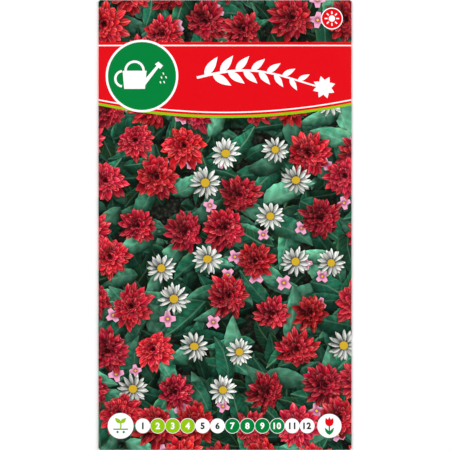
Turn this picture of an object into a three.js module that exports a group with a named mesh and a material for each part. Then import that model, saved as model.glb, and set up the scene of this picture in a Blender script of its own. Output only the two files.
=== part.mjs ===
// A filled seed packet lying on its back, in millimetres, +Z up.
// +X runs across the packet to its right and +Y runs to its top edge, and the front faces +Z.
// The origin is under the middle of the packet, on the surface that it lies on.
//
// The envelope is one sheet of coated paper, cut to a blank, folded and glued:
//   - the front panel fills the whole outline,
//   - a panel folds round each side to the back, and the right one laps over the left one,
//   - a short flap at the bottom and a longer one at the top fold over the lapped panels.
// Inside lies a sachet of two glassine webs, sealed along all four edges, with the loose seeds.
import * as THREE from "three";

// Driving dimensions of the folded packet
const WIDTH = 90;
const HEIGHT = 160;
const PAPER = 0.15;
const GLUE = 0.04;
const GLUE_GAP = 0.05; // room between two glued layers of paper
const FILM = 0.1; // one web of the sachet

// Heights of the middle of each layer of paper, from the surface up
const FLAP_Z = PAPER / 2;
const BACK_Z = FLAP_Z + PAPER + GLUE_GAP;
const LAPPED_Z = BACK_Z + PAPER + GLUE_GAP; // the left panel, where it lies on the right one
const SIDE_FOLD_R = 0.3;
const RIM_Z = BACK_Z + 2 * SIDE_FOLD_R; // the front panel along its folds
const END_FOLD_R = (RIM_Z - FLAP_Z) / 2;

// The flat part of the front panel ends where the folds begin
const FRONT_X = WIDTH / 2 - SIDE_FOLD_R - PAPER / 2;
const FRONT_Y = HEIGHT / 2 - END_FOLD_R - PAPER / 2;
const BACK_END_Y = FRONT_Y - 0.3; // the side panels stop short of the end folds
const FLAP_INSET = 1; // a flap is narrower than the front at its root
const FLAP_TAPER = 7; // and narrower by this at its free edge, on each side
const BOTTOM_FLAP = 14;
const TOP_FLAP = 21;
const LAP = 5; // each side panel reaches this far past the middle of the back
const JOGGLE_FROM = LAP + 4; // the left panel steps up here to lie on the right one
const JOGGLE_TO = LAP + 1;

// The filling: a soft pillow over the whole front, and the seeds' own low mound
const PILLOW = 1;
const MOUND = { x: 0, y: -14, reachX: 24, reachY: 32, height: 1.7 };

// The sachet lies in the bottom of the packet
const SACHET = { halfWidth: 36, bottom: -72, top: 44, seal: 5, shoulder: 10 };
const SACHET_Z = LAPPED_Z + PAPER / 2 + 0.07 + FILM / 2; // middle of its lower web
const WEB_GAP = 0.03;
const CLEAR = 0.15;

// The seeds lie one deep in the mound
const SEED = { count: 48, length: 3.1, width: 2.1, thickness: 1.5 };
const SEED_PATCH = { x: 17.5, y: 23.5 };
const GOLDEN_ANGLE = Math.PI * (3 - Math.sqrt(5));

const steps = (from, to, count) =>
  Array.from({ length: count + 1 }, (_, i) => from + ((to - from) * i) / count);

const smooth = (from, to, value) => THREE.MathUtils.smoothstep(value, from, to);

// Height of the middle of the front panel
function frontHeight(x, y) {
  const across = 1 - (x / FRONT_X) ** 4;
  const along = 1 - (y / FRONT_Y) ** 4;
  const far = ((x - MOUND.x) / MOUND.reachX) ** 2 + ((y - MOUND.y) / MOUND.reachY) ** 2;
  const mound = MOUND.height * Math.exp(-(far ** 2)) * Math.min(1, 4 * across, 4 * along);
  return RIM_Z + PILLOW * across * along + mound;
}

// Folds the flat blank: s runs across it and t along it, from the middle of the front panel.
function folded(s, t) {
  const sideways = Math.abs(s) - FRONT_X;
  const endways = Math.abs(t) - FRONT_Y;
  if (sideways > 0) {
    const side = Math.sign(s);
    const turn = Math.min(sideways / SIDE_FOLD_R, Math.PI);
    const past = Math.max(0, sideways - Math.PI * SIDE_FOLD_R);
    const x = side * (FRONT_X + SIDE_FOLD_R * Math.sin(turn) - past);
    const lift = side < 0 ? (LAPPED_Z - BACK_Z) * smooth(-JOGGLE_FROM, -JOGGLE_TO, x) : 0;
    const z = BACK_Z + SIDE_FOLD_R * (1 + Math.cos(turn)) + lift;
    return new THREE.Vector3(x, t, z);
  }
  if (endways > 0) {
    const end = Math.sign(t);
    const turn = Math.min(endways / END_FOLD_R, Math.PI);
    const past = Math.max(0, endways - Math.PI * END_FOLD_R);
    const y = end * (FRONT_Y + END_FOLD_R * Math.sin(turn) - past);
    const length = end < 0 ? BOTTOM_FLAP : TOP_FLAP;
    const x = s * (1 - (FLAP_TAPER / FRONT_X) * (past / length));
    return new THREE.Vector3(x, y, FLAP_Z + END_FOLD_R * (1 + Math.cos(turn)));
  }
  return new THREE.Vector3(s, t, frontHeight(s, t));
}

// A sheet of even thickness over the cells of a grid, as one closed body.
// place(s, t) gives the middle of the sheet, and keep(s, t) says whether a cell's centre is on it.
function sheet(columns, rows, place, keep, thickness) {
  const index = new Map();
  const middle = [];
  const normal = [];
  const vertex = (i, j) => {
    const key = i * rows.length + j;
    if (!index.has(key)) {
      index.set(key, middle.length);
      middle.push(place(columns[i], rows[j]));
      normal.push(new THREE.Vector3());
    }
    return index.get(key);
  };
  const onSheet = (i, j) =>
    i >= 0 && j >= 0 && i < columns.length - 1 && j < rows.length - 1 &&
    keep((columns[i] + columns[i + 1]) / 2, (rows[j] + rows[j + 1]) / 2);
  const cells = [];
  const rim = [];
  for (let i = 0; i < columns.length - 1; i++)
    for (let j = 0; j < rows.length - 1; j++) {
      if (!onSheet(i, j)) continue;
      const corners = [vertex(i, j), vertex(i + 1, j), vertex(i + 1, j + 1), vertex(i, j + 1)];
      cells.push(corners);
      const neighbours = [[i, j - 1], [i + 1, j], [i, j + 1], [i - 1, j]];
      neighbours.forEach(([ni, nj], side) => {
        if (!onSheet(ni, nj)) rim.push([corners[side], corners[(side + 1) % 4]]);
      });
      const across = middle[corners[2]].clone().sub(middle[corners[0]]);
      const up = middle[corners[3]].clone().sub(middle[corners[1]]);
      const facing = across.cross(up);
      corners.forEach((corner) => normal[corner].add(facing));
    }
  const count = middle.length;
  const positions = [];
  for (const side of [0.5, -0.5])
    middle.forEach((point, k) => {
      const out = normal[k].clone().normalize().multiplyScalar(side * thickness);
      positions.push(...point.clone().add(out).toArray());
    });
  const faces = [];
  for (const [a, b, c, d] of cells) {
    faces.push(a, b, c, a, c, d);
    faces.push(count + a, count + c, count + b, count + a, count + d, count + c);
  }
  for (const [a, b] of rim) faces.push(a, count + a, b, b, count + a, count + b);
  const geometry = new THREE.BufferGeometry();
  geometry.setAttribute("position", new THREE.Float32BufferAttribute(positions, 3));
  geometry.setIndex(faces);
  geometry.computeVertexNormals();
  return geometry;
}

function envelopeGeometry() {
  const sideArc = Math.PI * SIDE_FOLD_R;
  const endArc = Math.PI * END_FOLD_R;
  const sideStart = FRONT_X + sideArc;
  const backReach = (x) => sideStart + FRONT_X - x; // blank position of a point x on the back
  const rightBack = [backReach(22), backReach(0), backReach(-LAP)];
  const leftBack = [
    backReach(22),
    ...steps(backReach(JOGGLE_FROM), backReach(JOGGLE_TO), 3),
    backReach(0),
    backReach(-LAP),
  ];
  const columns = [
    ...leftBack.map((s) => -s).reverse(),
    ...steps(-sideStart, -FRONT_X, 4),
    ...steps(FLAP_INSET - FRONT_X, FRONT_X - FLAP_INSET, 18),
    ...steps(FRONT_X, sideStart, 4),
    ...rightBack,
  ];
  const flapRows = (length) => [FRONT_Y + endArc + length / 2, FRONT_Y + endArc + length];
  const rows = [
    ...flapRows(BOTTOM_FLAP).map((t) => -t).reverse(),
    ...steps(-FRONT_Y - endArc, -FRONT_Y, 4),
    ...steps(-BACK_END_Y, BACK_END_Y, 28),
    ...steps(FRONT_Y, FRONT_Y + endArc, 4),
    ...flapRows(TOP_FLAP),
  ];
  // The insets begin past the folds, so the folded packet's corners stay square.
  const onBlank = (s, t) => {
    const across = Math.abs(s);
    const along = Math.abs(t);
    if (across > FRONT_X) return along < (across < sideStart ? FRONT_Y : BACK_END_Y);
    return along < FRONT_Y + endArc || across < FRONT_X - FLAP_INSET;
  };
  return sheet(columns, rows, folded, onBlank, PAPER);
}

// Share of the sachet's full height: 0 on its seals, 1 inside its shoulders
function sachetFill(x, y) {
  const inward = Math.min(
    SACHET.halfWidth - Math.abs(x), y - SACHET.bottom, SACHET.top - y,
  );
  return smooth(SACHET.seal, SACHET.seal + SACHET.shoulder, inward);
}

function sachetWeb(isFront) {
  const shut = SACHET_Z + FILM + WEB_GAP;
  const place = (x, y) => {
    if (!isFront) return new THREE.Vector3(x, y, SACHET_Z);
    const open = frontHeight(x, y) - PAPER / 2 - CLEAR - FILM / 2;
    return new THREE.Vector3(x, y, shut + (open - shut) * sachetFill(x, y));
  };
  const edge = SACHET.halfWidth;
  const columns = [-edge, ...steps(SACHET.seal - edge, edge - SACHET.seal, 12), edge];
  const rows = [
    SACHET.bottom,
    ...steps(SACHET.bottom + SACHET.seal, SACHET.top - SACHET.seal, 18),
    SACHET.top,
  ];
  return isFront
    ? sheet(columns, rows, place, () => true, FILM)
    : sheet([-edge, edge], [SACHET.bottom, SACHET.top], place, () => true, FILM);
}

// A seed: an ellipsoid drawn in to a blunt point at one end, flattened a little underneath
function seedGeometry() {
  const geometry = new THREE.IcosahedronGeometry(1, 1);
  const place = geometry.getAttribute("position");
  for (let i = 0; i < place.count; i++) {
    const x = place.getX(i);
    const narrow = 1 - 0.28 * Math.max(0, x) ** 2;
    const z = Math.max(place.getZ(i), -0.9);
    place.setXYZ(
      i,
      (x * SEED.length) / 2,
      (place.getY(i) * narrow * SEED.width) / 2,
      (z * narrow * SEED.thickness) / 2,
    );
  }
  geometry.computeVertexNormals();
  return geometry;
}

const paper = new THREE.MeshStandardMaterial({ color: 0xd8202a, roughness: 0.42 });
const adhesive = new THREE.MeshStandardMaterial({ color: 0xe6dcc0, roughness: 0.6 });
const glassine = new THREE.MeshStandardMaterial({ color: 0xe9e6da, roughness: 0.35 });
const seedCoat = new THREE.MeshStandardMaterial({ color: 0x2e211a, roughness: 0.7 });

const packet = new THREE.Group();

function add(name, geometry, material, x = 0, y = 0, z = 0, turn = 0) {
  const mesh = new THREE.Mesh(geometry, material);
  mesh.name = name;
  mesh.position.set(x, y, z);
  mesh.rotation.z = turn;
  packet.add(mesh);
}

add("envelope", envelopeGeometry(), paper);

const bar = (width, length) => new THREE.BoxGeometry(width, length, GLUE);
const flapGlueZ = FLAP_Z + (PAPER + GLUE_GAP) / 2;
const seamGlueZ = BACK_Z + (PAPER + GLUE_GAP) / 2;
add("glue_back_seam", bar(2 * LAP - 3, 2 * BACK_END_Y - 6), adhesive, 0, 0, seamGlueZ);
add("glue_bottom_flap", bar(WIDTH - 22, 8), adhesive, 0, BOTTOM_FLAP / 2 - FRONT_Y, flapGlueZ);
add("glue_top_flap", bar(WIDTH - 22, 9), adhesive, 0, FRONT_Y - TOP_FLAP / 2 - 2, flapGlueZ);

add("sachet_back_web", sachetWeb(false), glassine);
add("sachet_front_web", sachetWeb(true), glassine);

// Seeds on a sunflower spiral, so that none touch, each turned by its number squared
for (let n = 0; n < SEED.count; n++) {
  const far = Math.sqrt((n + 0.5) / SEED.count);
  const angle = n * GOLDEN_ANGLE;
  const x = MOUND.x + SEED_PATCH.x * far * Math.cos(angle);
  const y = MOUND.y + SEED_PATCH.y * far * Math.sin(angle);
  const z = SACHET_Z + FILM / 2 + 0.05 + (0.9 * SEED.thickness) / 2;
  const name = "seed_" + String(n + 1).padStart(2, "0");
  add(name, seedGeometry(), seedCoat, x, y, z, n * n);
}

export default packet;
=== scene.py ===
import math

import bpy
import numpy as np
from bpy.props import FloatProperty, FloatVectorProperty, IntProperty, PointerProperty
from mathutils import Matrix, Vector
from mathutils.geometry import delaunay_2d_cdt


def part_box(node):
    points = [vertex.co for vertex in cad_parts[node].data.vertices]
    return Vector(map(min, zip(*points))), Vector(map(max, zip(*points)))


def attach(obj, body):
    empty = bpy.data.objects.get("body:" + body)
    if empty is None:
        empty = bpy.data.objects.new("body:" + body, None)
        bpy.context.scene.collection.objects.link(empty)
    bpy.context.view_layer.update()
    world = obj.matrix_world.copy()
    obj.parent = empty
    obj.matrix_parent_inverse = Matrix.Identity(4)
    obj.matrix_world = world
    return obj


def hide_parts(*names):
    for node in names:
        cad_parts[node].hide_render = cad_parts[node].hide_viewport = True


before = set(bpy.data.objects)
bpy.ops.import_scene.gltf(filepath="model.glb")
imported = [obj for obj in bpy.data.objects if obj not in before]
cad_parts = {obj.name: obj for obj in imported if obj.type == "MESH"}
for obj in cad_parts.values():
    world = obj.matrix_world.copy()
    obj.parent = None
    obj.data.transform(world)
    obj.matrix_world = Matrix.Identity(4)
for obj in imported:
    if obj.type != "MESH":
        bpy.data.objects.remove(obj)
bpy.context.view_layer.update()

bl_info = {
    "name": "Seed packet looks",
    "version": (1, 0, 0),
    "blender": (4, 5, 0),
    "location": "3D View > Sidebar > Seed packet",
    "description": "Prints, folds and fills a paper seed packet around its packed frame",
    "category": "Object",
}

# ---------------------------------------------------------------- measures
# Everything on paper is worked out in millimetres and turned into metres as a mesh is made.
MM = 0.001
BODY = "root"

ENVELOPE_LOW, ENVELOPE_HIGH = (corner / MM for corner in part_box("envelope"))
WIDTH = ENVELOPE_HIGH.x - ENVELOPE_LOW.x
HEIGHT = ENVELOPE_HIGH.y - ENVELOPE_LOW.y

# The sheet and its folds, as the packet's solids have them
PAPER = 0.15
LAYER_GAP = 0.05
FLAP_Z = PAPER / 2
BACK_Z = FLAP_Z + PAPER + LAYER_GAP
LAPPED_Z = BACK_Z + PAPER + LAYER_GAP
SIDE_FOLD_R = 0.3
RIM_Z = BACK_Z + 2 * SIDE_FOLD_R
END_FOLD_R = (RIM_Z - FLAP_Z) / 2
FRONT_X = WIDTH / 2 - SIDE_FOLD_R - PAPER / 2
FRONT_Y = HEIGHT / 2 - END_FOLD_R - PAPER / 2
BACK_END_Y = FRONT_Y - 0.3
FLAP_INSET = 1
FLAP_TAPER = 7
BOTTOM_FLAP = 14
TOP_FLAP = 21
LAP = 5
JOGGLE_FROM = LAP + 4
JOGGLE_TO = LAP + 1
PILLOW = 1.0
MOUND_Y = -14
MOUND_REACH_X = 24
MOUND_REACH_Y = 32
MOUND_HEIGHT = 1.7

# Where the front print turns over the folds and ends on the back
BLEED = 1.2
SIDE_ARC = math.pi * SIDE_FOLD_R
END_ARC = math.pi * END_FOLD_R
SIDE_REACH = FRONT_X + SIDE_ARC + BLEED
END_REACH = FRONT_Y + END_ARC + BLEED
FLAP_X = FRONT_X - FLAP_INSET

LIGHT_FROM = np.array((-0.42, 0.62, 0.66))  # in the printed picture
CONTACT_SHADE = 0.42  # light left in a corner of a motif that a nearer one lies against
GRID_DIGITS = 3  # every point of a print lies on a grid of a thousandth of a millimetre
STRAIGHT = 0.001  # a point this close to the line between its neighbours is on it


# ---------------------------------------------------------------- the folded sheet
def eased(low, high, value):
    k = np.clip((value - low) / (high - low), 0, 1)
    return k * k * (3 - 2 * k)


def ripple(x, y):
    """The slight unevenness of handled paper, from -1 to 1, as a few crossing waves."""
    waves = ((31, 0.4, 0.0), (23, 1.9, 1.3), (17, 2.6, 4.1), (41, 1.2, 2.2), (13, 0.9, 5.0))
    total = 0
    for length, heading, phase in waves:
        along = x * math.cos(heading) + y * math.sin(heading)
        total = total + np.sin(2 * math.pi * along / length + phase)
    return total / len(waves)


def front_height(x, y, waviness):
    across = 1 - (x / FRONT_X) ** 4
    along = 1 - (y / FRONT_Y) ** 4
    far = (x / MOUND_REACH_X) ** 2 + ((y - MOUND_Y) / MOUND_REACH_Y) ** 2
    mound = MOUND_HEIGHT * np.exp(-(far**2)) * np.clip(4 * np.minimum(across, along), 0, 1)
    loose = np.clip(3 * across, 0, 1) * np.clip(3 * along, 0, 1)
    return RIM_Z + PILLOW * across * along + mound + waviness * loose * ripple(x, y)


def folded(s, t, waviness):
    """The middle of the paper at s across and t along the flat blank, after folding."""
    sideways = np.abs(s) - FRONT_X
    endways = np.abs(t) - FRONT_Y
    side = np.sign(s)
    end = np.sign(t)
    level = front_height(np.clip(s, -FRONT_X, FRONT_X), np.clip(t, -FRONT_Y, FRONT_Y), waviness)
    front = (s, t, level)

    turn = np.clip(sideways / SIDE_FOLD_R, 0, math.pi)
    past = np.maximum(0, sideways - SIDE_ARC)
    x = side * (FRONT_X + SIDE_FOLD_R * np.sin(turn) - past)
    lift = np.where(side < 0, (LAPPED_Z - BACK_Z) * eased(-JOGGLE_FROM, -JOGGLE_TO, x), 0)
    panel = (x, t, BACK_Z + SIDE_FOLD_R * (1 + np.cos(turn)) + lift)

    turn = np.clip(endways / END_FOLD_R, 0, math.pi)
    past = np.maximum(0, endways - END_ARC)
    y = end * (FRONT_Y + END_FOLD_R * np.sin(turn) - past)
    length = np.where(end < 0, BOTTOM_FLAP, TOP_FLAP)
    tapered = s * (1 - FLAP_TAPER / FRONT_X * past / length)
    flap = (tapered, y, FLAP_Z + END_FOLD_R * (1 + np.cos(turn)))

    on_flap = endways > np.maximum(sideways, 0)
    on_panel = (sideways > 0) & ~on_flap
    return np.column_stack(
        [np.where(on_panel, p, np.where(on_flap, q, r)) for p, q, r in zip(panel, flap, front)]
    )


def on_sheet(blank, side, waviness):
    """Places and outward normals on one face of the paper: side is 1 outside and -1 inside."""
    s, t = blank.T
    step = 0.01
    across = folded(s + step, t, waviness) - folded(s - step, t, waviness)
    along = folded(s, t + step, waviness) - folded(s, t - step, waviness)
    normal = np.cross(across, along)
    normal /= np.linalg.norm(normal, axis=1)[:, None]
    return folded(s, t, waviness) + normal * side * PAPER / 2, normal * side


# ---------------------------------------------------------------- drawing
class Picture:
    """Flat areas of ink, painted one over another.

    Each corner of an area has four measures that its ink's material reads: how far it lies along
    and across its own petal, leaf or disc, a tone that is drawn for each, and its share of light.
    """

    def __init__(self):
        self.areas = []
        self.motif = 0
        self.casts = {0: False}

    def start(self, casts=True):
        """Begins a new motif, which may cast a little shade on what it lies over."""
        self.motif += 1
        self.casts[self.motif] = casts

    def paint(self, ink, points, along=0, across=0, tone=0, light=1):
        points = np.asarray(points, float)
        count = len(points)
        measures = [np.broadcast_to(m, count) for m in (along, across, tone, light)]
        measures = np.column_stack(measures)
        spots = np.column_stack([points, np.ones(count)])
        fit = np.linalg.lstsq(spots, measures, rcond=None)[0]
        self.areas.append((ink, self.motif, points, fit))

    def blade(self, ink, rows, across, tone, lights, lengths=1):
        """A petal or leaf, in halves along its midrib and each half in so many lengths.

        rows are its left edge, midrib and right edge, with as many points in each. across says
        how far out each point of an edge lies, and lights gives each row's share of light.
        """
        left, rib, right = (np.asarray(row, float) for row in rows)
        along = np.linspace(0, 1, len(rib))
        cuts = np.linspace(0, len(rib) - 1, lengths + 1).round().astype(int)
        for side, edge, lit in ((-1, left, lights[0]), (1, right, lights[2])):
            for first, last in zip(cuts[:-1], cuts[1:] + 1):
                part = slice(first, last)
                points = np.vstack([rib[part], edge[part][::-1]])
                far = np.concatenate([along[part], along[part][::-1]])
                aside = np.concatenate([np.zeros(last - first), side * across[part][::-1]])
                light = np.concatenate([lights[1][part], lit[part][::-1]])
                self.paint(ink, points, far, aside, tone, light)

    def stroke(self, ink, points, width):
        """A line of even width, or of a width given at each point."""
        points = np.asarray(points, float)
        width = np.broadcast_to(width, len(points))
        heading = np.gradient(points, axis=0)
        heading /= np.linalg.norm(heading, axis=1)[:, None]
        out = np.column_stack([-heading[:, 1], heading[:, 0]]) * width[:, None] / 2
        self.paint(ink, np.vstack([points + out, (points - out)[::-1]]))


def inside(polygon, spots):
    x, y = spots.T
    x0, y0 = polygon.T[:, :, None]
    x1, y1 = np.roll(polygon, -1, axis=0).T[:, :, None]
    crosses = (y0 > y) != (y1 > y)
    rise = np.where(y1 == y0, 1, y1 - y0)
    return (crosses & (x < x0 + (y - y0) * (x1 - x0) / rise)).sum(0) % 2 == 1


def last_painted(areas, spots, cell=2.0):
    """For each spot, the number of the last area painted over it."""
    low = spots.min(0)
    columns = int((spots[:, 0].max() - low[0]) // cell) + 2
    rows = int((spots[:, 1].max() - low[1]) // cell) + 2
    at = ((spots - low) // cell).astype(int)
    key = at[:, 1] * columns + at[:, 0]
    order = np.argsort(key, kind="stable")
    first = np.searchsorted(key[order], np.arange(columns * rows + 1))
    found = np.full(len(spots), -1)
    for number, (_, _, points, _) in enumerate(areas):
        near = ((points.min(0) - low) // cell).astype(int)
        far = ((points.max(0) - low) // cell).astype(int)
        left, right = np.clip((near[0], far[0]), 0, columns - 1)
        slices = [
            order[first[row * columns + left]:first[row * columns + right + 1]]
            for row in range(max(0, near[1]), min(rows - 1, far[1]) + 1)
        ]
        picked = np.concatenate(slices) if slices else np.empty(0, int)
        if len(picked):
            found[picked[inside(points, spots[picked])]] = number
    return found


def joined(points, edges):
    """Points and edges on the grid, with points at one place made one."""
    rounded = np.round(np.asarray(points), GRID_DIGITS)
    single, index = np.unique(rounded, axis=0, return_inverse=True)
    edges = index.reshape(-1)[np.asarray(edges)]
    edges = np.unique(np.sort(edges, axis=1), axis=0)
    return single, edges[edges[:, 0] != edges[:, 1]]


def triangulated(points, edges):
    points, edges = joined(points, edges)
    spots, _, faces, *_ = delaunay_2d_cdt(
        [Vector(p) for p in points], edges.tolist(), [], 0, 2e-4, False
    )
    return np.array([tuple(p) for p in spots]), np.array(faces)


def lines(rows, closed):
    """Rows of points as one set of points, and the edges that join each row's neighbours."""
    edges = []
    start = 0
    for row in rows:
        count = len(row)
        joins = count if closed else count - 1
        edges.extend((start + k, start + (k + 1) % count) for k in range(joins))
        start += count
    return np.vstack(rows), np.array(edges)


def merged(*maps):
    """Several sets of points and edges as one."""
    starts = np.cumsum([0] + [len(points) for points, _ in maps])
    edges = [edges + start for (_, edges), start in zip(maps, starts)]
    return np.vstack([points for points, _ in maps]), np.vstack(edges)


def evenly(outline, gap):
    """An outline with points added so that none are further apart than the gap."""
    rows = []
    for a, b in zip(outline, np.roll(outline, -1, axis=0)):
        count = max(1, math.ceil(np.linalg.norm(b - a) / gap))
        rows.append(a + (b - a) * np.arange(count)[:, None] / count)
    return np.vstack(rows)


def borders(faces, owner):
    """The edges between two triangles with different owners."""
    sides = np.sort(faces[:, [0, 1, 1, 2, 2, 0]].reshape(-1, 2), axis=1)
    owners = np.repeat(owner, 3)
    order = np.lexsort(sides.T[::-1])
    sides, owners = sides[order], owners[order]
    differ = (sides[1:] == sides[:-1]).all(1) & (owners[1:] != owners[:-1])
    return sides[:-1][differ]


def without_straight_points(points, edges):
    """Drops the points that two edges pass straight through, and joins their neighbours."""
    spots = points.tolist()
    near = {}
    for a, b in edges.tolist():
        near.setdefault(a, set()).add(b)
        near.setdefault(b, set()).add(a)
    for middle in list(near):
        if len(near[middle]) != 2:
            continue
        a, b = near[middle]
        (x0, y0), (x, y), (x1, y1) = spots[a], spots[middle], spots[b]
        aside = (x1 - x0) * (y - y0) - (y1 - y0) * (x - x0)
        if b not in near[a] and abs(aside) < STRAIGHT * math.hypot(x1 - x0, y1 - y0):
            near[a] ^= {middle, b}
            near[b] ^= {middle, a}
            del near[middle]
    return np.array([(a, b) for a in near for b in near[a] if a < b])


def stepped(points, edges, gap):
    """Edges cut evenly into steps no longer than the gap, so that they can follow the paper."""
    starts, ends = points[edges[:, 0]], points[edges[:, 1]]
    counts = np.ceil(np.linalg.norm(ends - starts, axis=1) / gap).astype(int)
    rows = [a + (b - a) * np.linspace(0, 1, count + 1)[:, None]
            for a, b, count in zip(starts, ends, np.maximum(counts, 1))]
    return lines(rows, closed=False)


def flat_map(picture, outline, guides, gap):
    """Cuts the painted areas to what shows of them inside an outline.

    The first triangulation holds every area whole. The second holds only the borders that show,
    with a grid of points and the guides, along which the paper will be folded.
    Returns the points, the triangles, each triangle's area and each corner's measures.
    """
    shapes = [points for _, _, points, _ in picture.areas]
    spots, faces = triangulated(*lines([outline] + shapes, closed=True))
    centres = spots[faces].mean(1)
    owner = last_painted(picture.areas, centres)
    owner[~inside(outline, centres)] = -1
    showing = without_straight_points(spots, borders(faces, owner))

    points, edges = merged(
        stepped(spots, showing, gap),
        lines([evenly(outline, gap)], closed=True),
        lines(guides, closed=False),
    )
    spots, faces = triangulated(np.vstack([points, grid_in(outline, gap)]), edges)
    faces = faces[inside(outline, spots[faces].mean(1))]
    owner = last_painted(picture.areas, spots[faces].mean(1))
    return spots, faces, owner, measured(picture, spots, faces, owner)


def grid_in(outline, gap):
    low, high = outline.min(0), outline.max(0)
    counts = np.ceil((high - low) / gap).astype(int)
    x = low[0] + (high[0] - low[0]) * (np.arange(counts[0]) + 0.5) / counts[0]
    y = low[1] + (high[1] - low[1]) * (np.arange(counts[1]) + 0.5) / counts[1]
    grid = np.stack(np.meshgrid(x, y), axis=-1).reshape(-1, 2)
    return grid[inside(outline, grid)]


def measured(picture, spots, faces, owner):
    """Each corner's measures, with its light cut where a nearer motif lies against it."""
    fits = np.array([fit for _, _, _, fit in picture.areas])[owner]
    corners = spots[faces]
    ones = np.ones(corners.shape[:2] + (1,))
    measures = np.einsum("fci,fim->fcm", np.concatenate([corners, ones], axis=2), fits)
    motif = np.array([motif for _, motif, _, _ in picture.areas])[owner]
    casting = np.where([picture.casts[m] for m in motif], motif, -1)
    nearest = np.full(len(spots), -1)
    np.maximum.at(nearest, faces.ravel(), np.repeat(casting, 3))
    shaded = nearest[faces] > motif[:, None]
    measures[:, :, 3] *= np.where(shaded, CONTACT_SHADE, 1)
    return measures


def circle(x, y, radius, sides=32, squash=1.0, turn=0.0):
    angle = turn + 2 * math.pi * np.arange(sides) / sides
    return np.column_stack([x + radius * np.cos(angle), y + radius * squash * np.sin(angle)])


def rectangle(low, high):
    (x0, y0), (x1, y1) = low, high
    return [(x0, y0), (x1, y0), (x1, y1), (x0, y1)]


EVERYWHERE = rectangle((-50, -85), (50, 85))  # past every edge of the packet


# ---------------------------------------------------------------- flowers and leaves
def turned_to_view(tilt, facing):
    """Turns a flower that faces the viewer: tipped back by tilt, then round to a heading."""
    tip = np.array(
        ((1, 0, 0), (0, math.cos(tilt), math.sin(tilt)), (0, -math.sin(tilt), math.cos(tilt)))
    )
    c, s = math.cos(facing), math.sin(facing)
    return np.array(((c, -s, 0), (s, c, 0), (0, 0, 1))) @ tip


def petal(picture, ink, view, centre, angle, root, length, width, rise, curl, tone, light):
    """One petal of a flower, modelled in the round and drawn as the viewer sees it."""
    u = np.array((0, 0.35, 0.62, 0.84, 1))
    across = np.array((0.3, 0.86, 1, 0.68, 0))
    half = width * across
    lift = rise - curl * u
    run = np.diff(u)
    out = root + length * np.concatenate([[0], np.cumsum(np.cos(lift[1:]) * run)])
    up = length * np.concatenate([[0], np.cumsum(np.sin(lift[1:]) * run)])
    ahead = np.array((math.cos(angle), math.sin(angle), 0))
    aside = np.array((-ahead[1], ahead[0], 0))
    rib = out[:, None] * ahead + up[:, None] * (0, 0, 1)
    edges, lights = [], []
    for side in (-1, 1):
        row = rib + side * half[:, None] * aside
        row[:, 2] += 0.4 * half
        edges.append((row @ view.T)[:, :2] + centre)
        face = -np.sin(lift)[:, None] * ahead + np.cos(lift)[:, None] * (0, 0, 1)
        face = face - side * 0.8 * aside
        face /= np.linalg.norm(face, axis=1)[:, None]
        lit = np.clip((face @ view.T) @ LIGHT_FROM, 0, 1)
        lights.append(light * (0.2 + 1.4 * lit) * (0.1 + 0.9 * u**0.65))
    picture.start()
    picture.paint(
        ink, np.vstack([edges[0], edges[1][-2::-1]]), np.concatenate([u, u[-2::-1]]),
        np.concatenate([-across, across[-2::-1]]), tone,
        np.concatenate([lights[0], lights[1][-2::-1]]),
    )


def blossom(picture, rng, centre, radius, tilt, facing, light):
    """A full double flower of petals in rings, the outer ones painted first."""
    view = turned_to_view(tilt, facing)
    tone = rng.uniform(0, 0.6)
    rings = 4 if radius < 7.5 else 5
    picture.start()
    picture.paint("petal", circle(*centre, 0.4 * radius, 12), 0.2, 0, tone, 0.3 * light)
    for ring in range(rings):
        inner = ring / (rings - 1)
        count = round(15 - 7 * inner)
        reach = radius * (1 - 0.74 * inner)
        for k in rng.permutation(count):
            angle = 2 * math.pi * (k + 0.5 * (ring % 2) + rng.uniform(-0.3, 0.3)) / count
            root = 0.05 * radius
            length = (reach - root) * rng.uniform(0.8, 1.1)
            petal(picture, "petal", view, centre, angle, root, length,
                  width=radius * (0.175 - 0.055 * inner), rise=0.1 + 1.05 * inner,
                  curl=rng.uniform(0.1, 0.9), tone=tone + rng.uniform(0, 0.4),
                  light=light * rng.uniform(0.7, 1.2))


def leaf(picture, rng, root, length, heading, tone, light):
    """A toothed leaf with a bent midrib, one half of it turned further from the viewer."""
    u = np.linspace(0, 1, 14)
    bend = rng.uniform(-0.5, 0.5)
    course = heading + bend * (2 * u - 1)
    step = length / (len(u) - 1)
    ahead = np.column_stack([np.cos(course), np.sin(course)])
    rib = root + np.concatenate([[(0, 0)], np.cumsum(ahead[1:] * step, axis=0)])
    teeth = 1 - 0.07 * (np.arange(len(u)) % 2)
    across = np.sin(math.pi * u**0.66) ** 0.85 * teeth
    across[[0, -1]] = 0
    half = rng.uniform(0.17, 0.23) * length * across
    out = np.column_stack([-ahead[:, 1], ahead[:, 0]])
    turn = rng.uniform(-0.45, 0.45)
    rows, lights = [], []
    for side in (1, 0, -1):
        share = 1 + side * turn
        rows.append(rib + side * share * half[:, None] * out)
        facing = np.clip(0.66 + side * 0.95 * (out @ LIGHT_FROM[:2]), 0.1, 1.5)
        lights.append(light * facing * (0.45 + 1.5 * u * (1.3 - u)))
    picture.start()
    picture.blade("leaf", rows, across, tone, lights, lengths=3)


def floret(picture, ink, centre, radius, turn, light):
    """A small flower of four blunt petals round a yellow eye."""
    angle = turn + 2 * math.pi * np.arange(12) / 12
    far = radius * np.where(np.arange(12) % 3 == 0, 0.55, 1)
    offset = np.column_stack([far * np.cos(angle), far * np.sin(angle)])
    along, across = (offset / radius).T
    picture.start()
    picture.paint(ink, centre + offset, along, across, turn % 1, light)
    picture.start(casts=False)
    picture.paint("eye", circle(*centre, 0.2 * radius, 4), light=light)


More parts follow.
